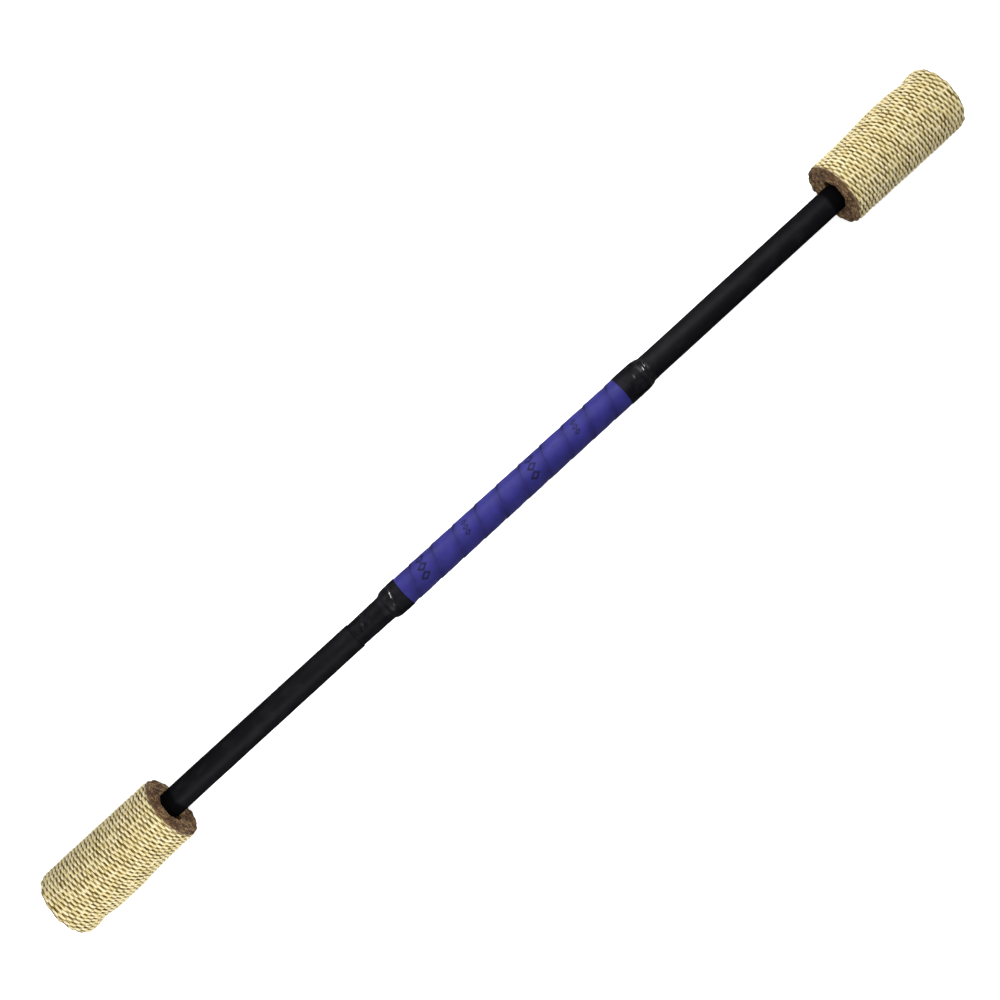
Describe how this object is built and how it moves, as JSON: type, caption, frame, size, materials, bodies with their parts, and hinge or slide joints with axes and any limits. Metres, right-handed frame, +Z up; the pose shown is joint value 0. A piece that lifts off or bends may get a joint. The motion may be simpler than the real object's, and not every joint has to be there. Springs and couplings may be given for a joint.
{
  "type": "fire juggling baton",
  "caption": "Straight baton for juggling or spinning fire: a sleeved metal tube with a woven wick rolled on and screwed to each end, and a helically taped hand grip in the middle.",
  "frame": {"origin": "middle of the tube's length, on its axis", "axes": "X along the tube, +Z up with the baton lying on its side; the wicks' free ends are on the +Y side at the +X end and on the -Y side at the -X end"},
  "size_m": [0.84, 0.0574, 0.0501],
  "materials": {
    "tube": "satin",
    "dowel": "matte",
    "sleeve": "satin",
    "grip": "satin",
    "binding": "gloss",
    "wick": "matte",
    "screws": "satin",
    "washers": "satin"
  },
  "bodies": {
    "root": {"core_tube": "tube", "right_end_dowel": "dowel", "left_end_dowel": "dowel", "right_sleeve": "sleeve", "left_sleeve": "sleeve", "grip_tape": "grip", "right_binding": "binding", "left_binding": "binding", "right_wick": "wick", "left_wick": "wick", "right_wick_outer_screws": "screws", "left_wick_outer_screws": "screws", "right_wick_inner_screws": "screws", "left_wick_inner_screws": "screws", "right_wick_washers": "washers", "left_wick_washers": "washers"}
  },
  "joints": []
}
